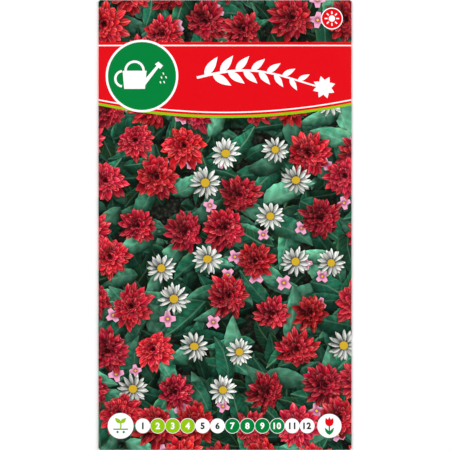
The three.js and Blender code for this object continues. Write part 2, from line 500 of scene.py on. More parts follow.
def daisy(picture, rng, centre, radius, tilt, facing):
    """A white daisy: two rings of narrow petals round a yellow button."""
    view = turned_to_view(tilt, facing)
    for ring, count in enumerate((13, 11)):
        for k in range(count):
            angle = 2 * math.pi * (k + 0.5 * ring + rng.uniform(-0.15, 0.15)) / count
            petal(picture, "white_petal", view, centre, angle, 0.1 * radius,
                  radius * (0.9 - 0.12 * ring) * rng.uniform(0.92, 1.05), width=0.11 * radius,
                  rise=0.1 + 0.25 * ring, curl=rng.uniform(0.1, 0.5), tone=0,
                  light=rng.uniform(0.85, 1.1))
    picture.start()
    picture.paint("eye", circle(*centre, 0.26 * radius, 16, squash=math.cos(tilt)), light=0.9)


ROW_PITCH = 0.87  # of a staggered grid, whose places are all about 1 apart


def scattered(rng, centre, reach, spacing, jitter=0.3):
    """Places on a staggered grid in an ellipse, each moved a little, from the top down."""
    places = []
    rows = int(reach[1] / spacing / ROW_PITCH) + 1
    columns = int(reach[0] / spacing) + 1
    for row in range(rows, -rows - 1, -1):
        for column in range(-columns, columns + 1):
            grid = np.array((column + 0.5 * (row % 2), ROW_PITCH * row)) * spacing
            offset = grid + rng.uniform(-jitter, jitter, 2) * spacing
            if ((offset / reach) ** 2).sum() < 1:
                places.append(np.asarray(centre) + offset)
    return sorted(places, key=lambda place: -place[1])


# ---------------------------------------------------------------- the front print
FLOWER_PITCH = 16.2
PINK_PITCH = 12
LEAF_LAYERS = (  # the deeper one first: pitch, range of lengths and range of light
    (6.5, (11, 17), (0.25, 0.65)),
    (11, (14, 20), (0.45, 1.5)),
)
DAISY_SHARE = 0.22  # of the flowers' places, and the rest hold a red flower
PINK_SHARE = 0.35  # of the small pink flowers' places, and the rest stay free
PATTERN = ((0, 0), (90, 130))  # centre and reach of the ellipse that the pattern fills
HEADER_TOP = 65.0
HEADER_BOTTOM = 38.5
CALENDAR_Y = -71.4
MONTH_PITCH = 5.31
MONTH_RADIUS = 2.65
MONTH_RIM = 0.18  # the pale line round a coloured disc, half of it inside the disc's radius
MONTH_FIGURE = 2.4
SIGN_X = 37.1  # of the two signs at the ends of the months


def flower_pattern(picture, seed):
    """An even pattern of red double flowers, daisies, small pink flowers and leaves."""
    rng = np.random.default_rng(seed)
    picture.paint("shade", EVERYWHERE)
    for spacing, lengths, lights in LEAF_LAYERS:
        for place in scattered(rng, *PATTERN, spacing):
            leaf(picture, rng, place, rng.uniform(*lengths), rng.uniform(0, 2 * math.pi),
                 rng.uniform(0.2, 1), rng.uniform(*lights))
    for place in scattered(rng, *PATTERN, PINK_PITCH):
        if rng.uniform() < PINK_SHARE:
            floret(picture, "pink_petal", place, rng.uniform(2.2, 3), rng.uniform(0, 6.28), 1.2)
    for place in scattered(rng, *PATTERN, FLOWER_PITCH, jitter=0.2):
        tilt, facing = rng.uniform(0, 0.6), rng.uniform(0, 2 * math.pi)
        if rng.uniform() < DAISY_SHARE:
            daisy(picture, rng, place, rng.uniform(5, 6.2), tilt, facing)
        else:
            blossom(picture, rng, place, rng.uniform(7.2, 9.4), tilt, facing,
                    rng.uniform(0.8, 1.3))


def flat(shape, origin, scale=1.0, turn=0.0):
    """A drawn shape at its place, turned and scaled."""
    c, s = scale * math.cos(turn), scale * math.sin(turn)
    return np.asarray(shape, float) @ np.array(((c, s), (-s, c))) + origin


def arc(x, y, radius, start, end, count=13):
    angle = np.linspace(start, end, count)
    return np.column_stack([x + radius * np.cos(angle), y + radius * np.sin(angle)])


def simple_leaf(length, width):
    """A pointed leaf from the origin along +X."""
    u = np.linspace(0, 1, 9)
    half = 0.5 * width * np.sin(math.pi * u**0.8)
    edge = np.column_stack([length * u, half])
    return np.vstack([edge, (edge * (1, -1))[-2:0:-1]])


def figure(picture, ink, text, centre, height):
    """A number in the built-in typeface, made bolder."""
    curve = bpy.data.curves.new("figure", "FONT")
    curve.body = text
    curve.resolution_u = 3
    curve.offset = 0.04
    curve.space_character = 1.1
    holder = bpy.data.objects.new("figure", curve)
    mesh = bpy.data.meshes.new_from_object(holder)
    spots = np.array([v.co[:2] for v in mesh.vertices])
    low, high = spots.min(0), spots.max(0)
    spots = (spots - (low + high) / 2) * height / (high[1] - low[1]) + centre
    for polygon in mesh.polygons:
        picture.paint(ink, spots[list(polygon.vertices)])
    bpy.data.meshes.remove(mesh)
    bpy.data.objects.remove(holder)
    bpy.data.curves.remove(curve)


def watering_can(picture, ink, origin, scale):
    """A watering can that pours to the right."""
    body = [(-5.2, -4.6), (2.6, -4.6), (3.2, 2.2), (-5.8, 2.2)]
    spout = [(2.4, -3.6), (7.7, 3.4), (6.9, 4.0), (2.9, -0.6)]
    rose = [(6.3, 4.6), (8.3, 2.8), (9.3, 4.1), (7.6, 5.6)]
    picture.paint(ink, flat(body, origin, scale))
    picture.paint(ink, flat(spout, origin, scale))
    picture.paint(ink, flat(rose, origin, scale))
    picture.stroke(ink, flat(arc(-1.3, 2.2, 3.4, math.pi, 0), origin, scale), 0.9 * scale)
    picture.stroke(ink, flat(arc(-5.6, -0.8, 2.9, 0.55 * math.pi, 1.45 * math.pi), origin, scale),
                   0.9 * scale)
    for x, y in ((9.3, 1.6), (10.3, 0.2), (8.6, 0.1), (9.6, -1.6), (8.2, -1.7)):
        drop = flat(simple_leaf(1.1, 0.5), origin + scale * np.array((x, y)), scale, -1.2)
        picture.paint(ink, drop)


def sprig(picture, ink, origin, scale):
    """A flowering sprig that lies along +X, as a plain silhouette."""
    u = np.linspace(0, 1, 17)
    stem = np.column_stack([44 * u, 3.2 * np.sin(1.2 * math.pi * u) - 1.5 * u])
    picture.stroke(ink, flat(stem, origin, scale), (0.55 + 0.35 * (1 - u)) * scale)
    for k in range(1, 14):
        foot = stem[k]
        heading = math.atan2(*(stem[k + 1] - stem[k - 1])[::-1])
        side = 1 if k % 2 else -1
        size = 8.5 - 0.28 * k
        outline = flat(simple_leaf(size, 0.36 * size), foot, 1, heading + side * 0.75)
        picture.paint(ink, flat(outline, origin, scale))
    for k in range(8):
        outline = flat(simple_leaf(4.1, 2.2), stem[-1] + (1.2, 0), 1, 2 * math.pi * k / 8 + 0.3)
        picture.paint(ink, flat(outline, origin, scale))


def sun(picture, ink, centre, radius):
    picture.paint(ink, circle(*centre, 0.42 * radius, 20))
    for k in range(8):
        heading = 2 * math.pi * k / 8
        ray = flat([(0.58 * radius, 0), (0.95 * radius, 0)], centre, 1, heading)
        picture.stroke(ink, ray, 0.17 * radius)


def header(picture):
    """A red band over the picture, with a round sign of a watering can and a white sprig."""
    x = np.linspace(-50, 50, 41)
    top = np.full(len(x), HEADER_TOP)
    bottom = HEADER_BOTTOM + 4.5 * (x / 45) ** 2
    lower, upper = np.column_stack([x, bottom]), np.column_stack([x, top])
    picture.start(casts=False)
    picture.paint("red", np.vstack([lower, upper[::-1]]))
    picture.stroke("lime", lower, 0.9)
    picture.stroke("white", lower + (0, 1.5), 0.45)
    picture.stroke("white", upper - (0, 1.2), 0.45)
    sign = np.array((-29.5, (HEADER_TOP + HEADER_BOTTOM) / 2 + 1.2))
    picture.paint("white", circle(*sign, 12.9, 56))
    picture.paint("green", circle(*sign, 12.1, 56))
    watering_can(picture, "white", sign - (1.4, 0.2), 0.95)
    sprig(picture, "white", np.array((-10, sign[1] - 0.6)), 1.0)
    spot = np.array((38, 73.4))
    picture.paint("white", circle(*spot, 3.9, 32))
    picture.paint("red", circle(*spot, 3.55, 32))
    sun(picture, "white", spot, 2.7)


def seedling(picture, centre):
    """Two seeds and a sprout over a line of soil: when to sow."""
    picture.stroke("green", [centre + (-2.6, -1.2), centre + (2.6, -1.2)], 0.4)
    picture.stroke("lime", [centre + (0, -1.2), centre + (0.1, 0.2), centre + (0, 1.2)], 0.5)
    for side in (-1, 1):
        turn = math.pi / 2 - side * 0.85
        picture.paint("lime", flat(simple_leaf(2.7, 1.4), centre + (0, 1.0), 1, turn))
        picture.paint("green", circle(*(centre + (1.1 * side, -2.2)), 0.42, 10))


def tulip(picture, centre):
    """A flower on its stem with two leaves: when it blooms."""
    picture.stroke("green", [centre + (0, -3.2), centre + (0, -1.5), centre + (0, 0.2)], 0.5)
    for side in (-1, 1):
        turn = math.pi / 2 - side * 0.6
        picture.paint("green", flat(simple_leaf(3.0, 1.0), centre + (0, -3.1), 1, turn))
    for side in (-1, 1, 0):
        turn = math.pi / 2 - side * 0.42
        picture.paint("red", flat(simple_leaf(3.3, 1.7), centre + (0, -0.2), 1, turn))


def calendar(picture):
    """Twelve numbered months in a row, lime to sow and green to bloom, between two signs."""
    picture.start(casts=False)
    fills = ["white", "lime", "lime", "lime", "white", "white"] + ["green"] * 4 + ["white"] * 2
    centres = [np.array(((month - 5.5) * MONTH_PITCH, CALENDAR_Y)) for month in range(12)]
    for fill, centre in zip(fills, centres):
        rim = 0 if fill == "white" else MONTH_RIM / 2
        picture.paint("white", circle(*centre, MONTH_RADIUS + rim, 28))
    for month, (fill, centre) in enumerate(zip(fills, centres)):
        if fill != "white":
            picture.paint(fill, circle(*centre, MONTH_RADIUS - MONTH_RIM / 2, 28))
        ink = "black" if fill == "white" else "white"
        figure(picture, ink, str(month + 1), centre, MONTH_FIGURE)
    for side, radius, draw in ((-1, 4.6, seedling), (1, 4.3, tulip)):
        centre = np.array((side * SIGN_X, CALENDAR_Y))
        picture.paint("white", circle(*centre, radius, 40))
        draw(picture, centre)


def front_picture(settings):
    picture = Picture()
    flower_pattern(picture, settings.picture_seed)
    header(picture)
    calendar(picture)
    return picture


# ---------------------------------------------------------------- the back print
# Drawn as it is seen from behind, so +X here runs towards the packet's left side.
TABLE_X = 3.2  # middle of the twelve months
TABLE_TOP = 51.0
ROW = 8.0
FRAME = 23.0  # side of a square with a growing hint
FRAME_Y = 5.5
GROUND_Y = -34.5
NOTE_TOP = -44.0
NOTE_PITCH = 5.2
NOTE_HALF = 38.5


def line(picture, ink, a, b, width):
    picture.stroke(ink, [a, (np.asarray(a) + b) / 2, b], width)


def frame_of(picture, ink, low, high, width):
    """Four lines round a box."""
    corners = rectangle(low, high)
    for a, b in zip(corners, corners[1:] + corners[:1]):
        line(picture, ink, a, b, width)


def plant(picture, foot, height, pairs, bloom=0.0):
    """A growing plant: a stem, pairs of leaves that shorten upwards, and perhaps a flower."""
    foot = np.asarray(foot, float)
    u = np.linspace(0, 1, 7)
    stem = foot + np.column_stack([0.04 * height * np.sin(3 * u), height * u])
    picture.stroke("green", stem, 0.55)
    for pair in range(pairs):
        at = stem[round(6 * (pair + 0.7) / pairs)]
        length = 2.2 + 0.22 * height - 0.5 * pair
        for side in (-1, 1):
            turn = math.pi / 2 - side * (1.15 - 0.25 * pair / pairs)
            picture.paint("leaf_green", flat(simple_leaf(length, 0.42 * length), at, 1, turn))
    if bloom:
        for k in range(9):
            spoke = flat(simple_leaf(bloom, 0.6 * bloom), stem[-1], 1, 2 * math.pi * k / 9)
            picture.paint("red", spoke)
        picture.paint("lime", circle(*stem[-1], 0.28 * bloom, 14))


def arrow(picture, a, b):
    """A dimension line with a head at each end."""
    a, b = np.asarray(a, float), np.asarray(b, float)
    heading = math.atan2(*(b - a)[::-1])
    line(picture, "black", a, b, 0.22)
    for end, turn in ((a, heading), (b, heading + math.pi)):
        picture.paint("black", flat([(0, 0), (1.5, 0.55), (1.5, -0.55)], end, 1, turn))


def months(picture):
    """A table of the twelve months: when to sow, when to plant out and when it blooms."""
    left = TABLE_X - 6 * MONTH_PITCH
    right = TABLE_X + 6 * MONTH_PITCH
    rows = (("lime", 2, 4), ("mint", 5, 5), ("green", 7, 10))
    bottom = TABLE_TOP - ROW * (len(rows) + 0.75)
    picture.paint("white", rectangle((-NOTE_HALF, bottom), (right, TABLE_TOP)))
    for number, (ink, first, last) in enumerate(rows):
        middle = TABLE_TOP - ROW * (number + 1.25)
        low, high = left + MONTH_PITCH * (first - 1), left + MONTH_PITCH * last
        picture.paint(ink, rectangle((low, middle - 2), (high, middle + 2)))
        line(picture, "grey", (-NOTE_HALF, middle + ROW / 2), (right, middle + ROW / 2), 0.18)
    for month in range(13):
        x = left + MONTH_PITCH * month
        line(picture, "grey", (x, bottom), (x, TABLE_TOP), 0.18)
        if month < 12:
            centre = np.array((x + MONTH_PITCH / 2, TABLE_TOP - 0.38 * ROW))
            figure(picture, "black", str(month + 1), centre, 2.2)
    frame_of(picture, "green", (-NOTE_HALF, bottom), (right, TABLE_TOP), 0.4)
    signs = [np.array(((left - NOTE_HALF) / 2, TABLE_TOP - ROW * (k + 1.25))) for k in range(3)]
    seedling(picture, signs[0] + (0, 0.2))
    plant(picture, signs[1] - (0, 2.9), 4.6, 2)
    tulip(picture, signs[2])


def hints(picture):
    """Three framed signs: how deep to sow, how far apart, and how tall it grows."""
    ground = FRAME_Y - 5.5
    deep, apart, tall = -27.5, 0.0, 27.5
    for x in (deep, apart, tall):
        low, high = np.array((x, FRAME_Y)) - FRAME / 2, np.array((x, FRAME_Y)) + FRAME / 2
        picture.paint("white", rectangle(low, high))
        picture.paint("soil", rectangle(low, (high[0], ground)))
        frame_of(picture, "green", low, high, 0.5)
    picture.paint("cream", circle(deep - 3.5, ground - 3.6, 1.0, 16, 0.7))
    line(picture, "cream", (deep - 8, ground - 3.6), (deep - 5.4, ground - 3.6), 0.25)
    arrow(picture, (deep - 6.8, ground - 3.6), (deep - 6.8, ground))
    plant(picture, (deep + 4.5, ground), 5.5, 2)
    figure(picture, "black", "1", np.array((deep - 4.5, ground + 7.5)), 4.2)
    for side in (-1, 1):
        plant(picture, (apart + 6 * side, ground), 6.0, 2)
    arrow(picture, (apart - 6, ground - 2.6), (apart + 6, ground - 2.6))
    figure(picture, "black", "25", np.array((apart, ground + 12.2)), 4.2)
    plant(picture, (tall - 3.5, ground), 10.5, 4, 2.6)
    arrow(picture, (tall + 3.2, ground), (tall + 3.2, ground + 13))
    figure(picture, "black", "30", np.array((tall + 7, ground + 7)), 3.4)


def growth(picture):
    """From seed to flower, along a strip of soil."""
    picture.paint("soil", rectangle((-NOTE_HALF, GROUND_Y - 3.2), (NOTE_HALF, GROUND_Y)))
    picture.paint("cream", circle(-33, GROUND_Y - 1.5, 0.9, 16, 0.7))
    for x, height, pairs, bloom in ((-20, 2.5, 1, 0), (-7, 6.0, 2, 0), (9, 11.0, 4, 0),
                                    (26, 15.5, 5, 3.6)):
        plant(picture, (x, GROUND_Y), height, pairs, bloom)
    for x in (-27, -14, 0, 17):
        picture.paint("lime", flat([(0, 0.9), (1.9, 0), (0, -0.9)], np.array((x, GROUND_Y + 2))))


def notes(picture):
    """Ruled lines to write on, each with a box to tick."""
    for row in range(4):
        y = NOTE_TOP - NOTE_PITCH * row
        frame_of(picture, "grey", (-NOTE_HALF, y), (-NOTE_HALF + 3, y + 3), 0.22)
        line(picture, "grey", (-NOTE_HALF + 5, y), (NOTE_HALF, y), 0.22)


def back_picture():
    """The back panels: a pale ground with tables, signs and lines, all in plain numbers."""
    picture = Picture()
    picture.start(casts=False)
    picture.paint("cream", EVERYWHERE)
    months(picture)
    hints(picture)
    growth(picture)
    notes(picture)
    return picture


def flap_picture(ink, free_edge, inward):
    """A glued flap: a plain colour with two lines along its free edge."""
    picture = Picture()
    picture.start(casts=False)
    picture.paint(ink, EVERYWHERE)
    for far, width, line_ink in ((1.6, 0.9, "lime"), (3.0, 0.4, "white")):
        y = free_edge + inward * far
        line(picture, line_ink, (-50, y), (50, y), width)
    return picture


# ---------------------------------------------------------------- meshes
FOLD_STEPS = 6  # rows of triangles round a fold
FRONT_MAP = ((0.005, 0.005), (0.955, 0.995))  # the front's printed face in its OFBake map
FRONT_BARE_MAP = ((0.96, 0.005), (0.995, 0.995))
BACK_MAP = Vector((108.0, 200.0))  # the back's panels and flaps laid out flat, in millimetres


class Solid:
    """Collects closed sheets of paper, with what their materials read, and makes their mesh."""

    def __init__(self):
        self.count = 0
        self.parts = []

    def add(self, places, faces, corner_normals, ink, measures, uv):
        self.parts.append((places, faces + self.count, corner_normals, ink, measures, uv))
        self.count += len(places)

    def made(self, name, inks):
        places, faces, normals, ink, measures, uv = (np.concatenate(p) for p in zip(*self.parts))
        mesh = bpy.data.meshes.new(name)
        mesh.from_pydata((places * MM).tolist(), [], faces.tolist())
        names = sorted(set(ink))
        for used in names:
            mesh.materials.append(inks[used])
        mesh.polygons.foreach_set("material_index", np.searchsorted(names, ink).astype(np.int32))
        stroke = mesh.attributes.new("stroke", "FLOAT_VECTOR", "CORNER")
        stroke.data.foreach_set("vector", measures[:, :, :3].ravel())
        light = mesh.attributes.new("light", "FLOAT", "CORNER")
        light.data.foreach_set("value", measures[:, :, 3].ravel())
        bake = mesh.uv_layers.new(name="OFBake")
        bake.uv.foreach_set("vector", uv.ravel())
        mesh.shade_smooth()
        mesh.normals_split_custom_set(normals.reshape(-1, 3).tolist())
        made = bpy.data.objects.new(name, mesh)
        bpy.context.scene.collection.objects.link(made)
        return made


def add_sheet(solid, picture, outline, guides, gap, to_blank, waviness, uv_box, bare_box):
    """Adds a panel of the sheet as a closed solid: its printed face, bare face and cut edge."""
    outline = np.round(outline, GRID_DIGITS)
    spots, faces, owner, measures = flat_map(picture, outline, guides, gap)
    names = np.array([area[0] for area in picture.areas])
    low, high = outline.min(0), outline.max(0)

    def mapped(points, box):
        return np.array(box[0]) + (points - low) / (high - low) * (np.array(box[1]) - box[0])

    places, normals = on_sheet(to_blank(spots), 1, waviness)
    solid.add(places, faces, normals[faces], names[owner], measures, mapped(spots, uv_box)[faces])

    sides = faces[:, [0, 1, 1, 2, 2, 0]].reshape(-1, 2)
    _, first, count = np.unique(
        np.sort(sides, axis=1), axis=0, return_index=True, return_counts=True
    )
    rim = sides[first[count == 1]]
    rim_points, rim_edges = np.unique(rim, return_inverse=True)
    coarse = np.vstack([spots[rim_points], grid_in(outline, 2 * gap), *guides])
    inner, inner_faces = triangulated(coarse, rim_edges.reshape(-1, 2))
    inner_faces = inner_faces[inside(outline, inner[inner_faces].mean(1))][:, ::-1]
    inner_places, inner_normals = on_sheet(to_blank(inner), -1, waviness)
    bare = mapped(inner, bare_box)
    blank = np.zeros((len(inner_faces), 3, 4))
    solid.add(inner_places, inner_faces, inner_normals[inner_faces],
              np.full(len(inner_faces), "bare_paper"), blank, bare[inner_faces])

    far = ((spots[rim_points][:, None] - inner[None]) ** 2).sum(2)
    partner = far.argmin(1)[rim_edges.reshape(-1, 2)]
    a, b = rim.T
    c, d = partner.T
    edge_places = np.concatenate([places[a], places[b], inner_places[d], inner_places[c]])
    k = np.arange(len(rim))
    n = len(rim)
    edge_faces = np.vstack([np.column_stack(q) for q in
                            ((k, k + 3 * n, k + 2 * n), (k, k + 2 * n, k + n))])
    across = np.cross(places[b] - places[a], normals[a])
    across /= np.linalg.norm(across, axis=1)[:, None]
    edge_normals = np.repeat(np.tile(across, (2, 1))[:, None], 3, axis=1)
    edge_uv = np.vstack([bare[c], bare[d], bare[d], bare[c]])[edge_faces]
    solid.add(edge_places, edge_faces, edge_normals, np.full(2 * n, "bare_paper"),
              np.zeros((2 * n, 3, 4)), edge_uv)


# ---------------------------------------------------------------- materials
def srgb(code):
    """An sRGB hex colour as the linear one that sockets hold."""
    values = [int(code[k:k + 2], 16) / 255 for k in (1, 3, 5)]
    return tuple(v / 12.92 if v <= 0.04045 else ((v + 0.055) / 1.055) ** 2.4 for v in values)


def add(tree, kind, inputs=None, **settings):
    """Adds a node with its settings; an input is given a value, or an output to link to."""
    made = tree.nodes.new(kind)
    for name, value in settings.items():
        setattr(made, name, value)
    for name, value in (inputs or {}).items():
        if isinstance(value, bpy.types.NodeSocket):
            tree.links.new(value, made.inputs[name])
        else:
            made.inputs[name].default_value = value
    return made


def maths(tree, operation, *values):
    """The result of a Math node whose inputs are the values, in turn."""
    return add(tree, "ShaderNodeMath", dict(enumerate(values)), operation=operation).outputs[0]


def noise(tree, place, scale, detail):
    return add(tree, "ShaderNodeTexNoise", {
        "Vector": place, "Scale": scale, "Detail": detail}).outputs["Fac"]


def ranged(tree, value, source=(0, 1), target=(0, 1)):
    """A value carried from one range to another and held inside it."""
    return add(tree, "ShaderNodeMapRange", {
        "Value": value, "From Min": source[0], "From Max": source[1],
        "To Min": target[0], "To Max": target[1]}).outputs["Result"]


def multiplied(tree, colour, share, clamp=False):
    return add(tree, "ShaderNodeMix", {0: 1.0, 6: colour, 7: share}, data_type="RGBA",
               blend_type="MULTIPLY", clamp_result=clamp).outputs[2]


def mixed(tree, share, colour, code):
    """A colour mixed with an sRGB hex colour."""
    return add(tree, "ShaderNodeMix", {0: share, 6: colour, 7: (*srgb(code), 1)},
               data_type="RGBA").outputs[2]


def bump(tree, height, strength, depth):
    """The normals of a surface raised by height, which is 1 at this depth in millimetres."""
    return add(tree, "ShaderNodeBump", {
        "Height": height, "Strength": strength, "Distance": depth * MM}).outputs["Normal"]


def finish(tree, inputs):
    """Ends a material's tree with one Principled surface."""
    surface = add(tree, "ShaderNodeBsdfPrincipled", inputs)
    add(tree, "ShaderNodeOutputMaterial", {"Surface": surface.outputs["BSDF"]})


def ramp(tree, value, *stops):
    """A colour ramp's colour at a value; each stop is a position and an sRGB hex colour."""
    made = add(tree, "ShaderNodeValToRGB", {0: value})
    elements = made.color_ramp.elements
    while len(elements) < len(stops):
        elements.new(0.5)
    for element, (position, code) in zip(elements, stops):
        element.position = position
        element.color = (*srgb(code), 1)
    return made.outputs["Color"]


def new_material(name):
    material = bpy.data.materials.new(name)
    material.use_nodes = True
    material.node_tree.nodes.clear()
    return material, material.node_tree


def millimetres(tree):
    """The object's own coordinates, in millimetres."""
    place = add(tree, "ShaderNodeTexCoord").outputs["Object"]
    return add(tree, "ShaderNodeVectorMath", {0: place, "Scale": 1 / MM},
               operation="SCALE").outputs["Vector"]


def measures_of(tree):
    """How far along and across its motif a point lies, the motif's tone, and its light."""
    stroke = add(tree, "ShaderNodeAttribute", attribute_name="stroke").outputs["Vector"]
    parts = add(tree, "ShaderNodeSeparateXYZ", {0: stroke}).outputs
    light = add(tree, "ShaderNodeAttribute", attribute_name="light").outputs["Fac"]
    return parts[0], parts[1], parts[2], light


def print_finish(tree, place, colour, settings):
    """Satin-coated paper: a soft sheen, a trace of fibre, and a calendered surface."""
    fibre = noise(tree, place, 2.2, 4.0)
    mottle = noise(tree, place, 0.35, 2.0)
    finish(tree, {
        "Base Color": colour, "Roughness": ranged(tree, mottle, target=(0.26, 0.36)),
        "Specular IOR Level": settings.sheen, "Normal": bump(tree, fibre, 0.06, 0.03)})


def printed(name, settings, paint):
    """Process ink printed by offset on coated paper. paint gives its colour in a tree."""
    material, tree = new_material(name)
    place = millimetres(tree)
    along, across, tone, light = measures_of(tree)
    colour = paint(tree, place, along, across, tone)
    print_finish(tree, place, multiplied(tree, colour, light, clamp=True), settings)
    return material


def shade_ink(tree, place, along, across, tone):
    """The deep shade between leaves."""
    return ramp(tree, noise(tree, place, 0.7, 6.0), (0.4, "#0b0d0a"), (0.55, "#1d2019"),
                (0.72, "#3a3c33"))


def petal_ink(tree, place, along, across, tone):
    """Scarlet petals: deep at the root, bright at the tip, streaked along their length."""
    body = ramp(tree, along, (0.0, "#4a050d"), (0.3, "#a50c1c"), (0.75, "#d61526"),
                (1.0, "#ea4444"))
    place_on = add(tree, "ShaderNodeCombineXYZ", {0: along, 1: across, 2: tone}).outputs[0]
    stretched = add(tree, "ShaderNodeVectorMath", {0: place_on, 1: (1.2, 4.0, 40.0)},
                    operation="MULTIPLY").outputs[0]
    streak = noise(tree, stretched, 1.0, 2.0)
    streaked = multiplied(tree, body, ranged(tree, streak, (0.3, 0.7), (0.6, 1.2)))
    hue = ranged(tree, tone, target=(0.491, 0.503))
    hued = add(tree, "ShaderNodeHueSaturation", {"Hue": hue, "Color": streaked}).outputs[0]
    pale = maths(tree, "MULTIPLY", ranged(tree, streak, (0.55, 0.68)), along)
    return mixed(tree, pale, hued, "#f08e86")


def leaf_ink(tree, place, along, across, tone):
    """Green leaves with a pale midrib, side veins and quilting between them."""
    toned = maths(tree, "MULTIPLY_ADD", noise(tree, place, 0.35, 4.0), 0.9, tone)
    body = ramp(tree, maths(tree, "SUBTRACT", toned, 0.45), (0.0, "#2c431c"), (0.3, "#1b5038"),
                (0.6, "#27785b"), (1.0, "#6fbf9a"))
    out = maths(tree, "ABSOLUTE", across)
    phase = maths(tree, "MULTIPLY_ADD", along, 9.0, maths(tree, "MULTIPLY", out, -1.9))
    vein = maths(tree, "PINGPONG", phase, 1.0)
    side_veins = ranged(tree, vein, (0.14, 0), (0, 0.14))
    midrib = ranged(tree, out, (0.1, 0), (0, 0.34))
    quilted = multiplied(tree, body, ranged(tree, vein, target=(0.74, 1.15)))
    edged = mixed(tree, ranged(tree, across, (0.7, 1), (0, 0.5)), quilted, "#80a455")
    return mixed(tree, maths(tree, "MAXIMUM", side_veins, midrib), edged, "#a4d2ac")


def pale_ink(heart, rim):
    """Pale petals that are a little darker at the heart of the flower."""
    def paint(tree, place, along, across, tone):
        spot = add(tree, "ShaderNodeCombineXYZ", {0: along, 1: across}).outputs[0]
        far = add(tree, "ShaderNodeVectorMath", {0: spot}, operation="LENGTH").outputs["Value"]
        return ramp(tree, far, (0.2, heart), (0.6, rim))
    return paint


def solid_ink(code):
    """One flat colour with the faint mottle of a printed solid."""
    def paint(tree, place, along, across, tone):
        mottle = ranged(tree, noise(tree, place, 0.8, 3.0), target=(0.96, 1.03))
        return multiplied(tree, (*srgb(code), 1), mottle)
    return paint


def bare_paper():
    """Uncoated inner face and cut edge of the sheet: matt, off-white, with visible fibre."""
    material, tree = new_material("bare_paper")
    fibre = noise(tree, millimetres(tree), 1.5, 5.0)
    colour = ramp(tree, fibre, (0.3, "#e2ded2"), (0.7, "#f3f0e7"))
    finish(tree, {"Base Color": colour, "Roughness": 0.85})
    return material


def all_inks(settings):
    paints = {
        "shade": shade_ink,
        "petal": petal_ink,
        "leaf": leaf_ink,
        "white_petal": pale_ink("#9aa58c", "#f4f6ee"),
        "pink_petal": pale_ink("#8c3f63", "#e39cba"),
        "eye": solid_ink("#dcb32e"),
        "red": solid_ink("#e30a17"),
        "green": solid_ink("#00803a"),
        "lime": solid_ink("#96c60f"),
        "white": solid_ink("#ffffff"),
        "black": solid_ink("#1a1a18"),
        "cream": solid_ink("#f6f2e2"),
        "mint": solid_ink("#a9d8b4"),
        "leaf_green": solid_ink("#3f9a3c"),
        "grey": solid_ink("#9aa39a"),
        "soil": solid_ink("#7a5a3c"),
    }
    inks = {name: printed("ink_" + name, settings, paint) for name, paint in paints.items()}
    inks["bare_paper"] = bare_paper()
    return inks


def glassine():
    """Glassine, supercalendered: pale, satin and cloudy, and the seeds show through it faintly."""
    material, tree = new_material("glassine_supercalendered")
    place = millimetres(tree)
    cloud = noise(tree, place, 0.25, 4.0)
    crease = add(tree, "ShaderNodeTexVoronoi", {"Vector": place, "Scale": 0.06},
                 feature="DISTANCE_TO_EDGE").outputs["Distance"]
    ridge = ranged(tree, crease, (0, 0.06), (1, 0))
    finish(tree, {
        "Base Color": ramp(tree, cloud, (0.3, "#dcd8c6"), (0.7, "#efece0")), "Roughness": 0.3,
        "IOR": 1.47, "Alpha": FILM_FACE_ALPHA, "Normal": bump(tree, ridge, 0.4, 0.05)})
    return material


def dried_adhesive():
    """Dispersion adhesive, rolled on and dried: cream and dull, a little uneven in thickness."""
    material, tree = new_material("dispersion_adhesive_dried")
    flow = noise(tree, millimetres(tree), 0.5, 2.0)
    finish(tree, {
        "Base Color": ramp(tree, flow, (0.3, "#d9cba0"), (0.7, "#ebe2c6")), "Roughness": 0.6,
        "IOR": 1.5, "Normal": bump(tree, flow, 0.3, 0.1)})
    return material


def seed_coat():
    """A dry seed's coat: dark brown and matt, finely ribbed, with pale flecks from rubbing."""
    material, tree = new_material("dry_seed_coat")
    grain = noise(tree, millimetres(tree), 3.0, 5.0)
    colour = ramp(tree, grain, (0.35, "#1d1410"), (0.55, "#3a2a1f"), (0.72, "#6b543f"))
    on_seed = add(tree, "ShaderNodeAttribute", attribute_name="on_seed").outputs["Vector"]
    parts = add(tree, "ShaderNodeSeparateXYZ", {0: on_seed}).outputs
    angle = maths(tree, "ARCTAN2", parts[1], parts[2])
    height = maths(tree, "SINE", maths(tree, "MULTIPLY", angle, SEED_RIBS))
    finish(tree, {
        "Base Color": colour, "Roughness": 0.7, "Normal": bump(tree, height, 0.6, 0.03)})
    return material


# ---------------------------------------------------------------- sachet and seeds
SACHET_LOW, SACHET_HIGH = (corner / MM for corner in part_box("sachet_back_web"))
SACHET_Z = (SACHET_LOW.z + SACHET_HIGH.z) / 2
FILM = SACHET_HIGH.z - SACHET_LOW.z
WEB_GAP = 0.03
SEAL = 5
SHOULDER = 10
CLEAR = 0.15
CRIMP_PITCH = 1.25  # a heat seal's ribs, drawn coarser than a sealer's teeth so that they show
CRIMP_HEIGHT = 0.03
FILM_FACE_ALPHA = 0.55  # a web has two faces, so a fifth of what lies behind it shows
SEED_RIBS = 24  # round a seed, each along its whole length
SEED_TAPER = 1.12  # a seed's tip is narrower than its middle by a quarter of this share
SEED_FLAT = 0.45  # its underside is flat this far below its middle, where a ball's is 0.5


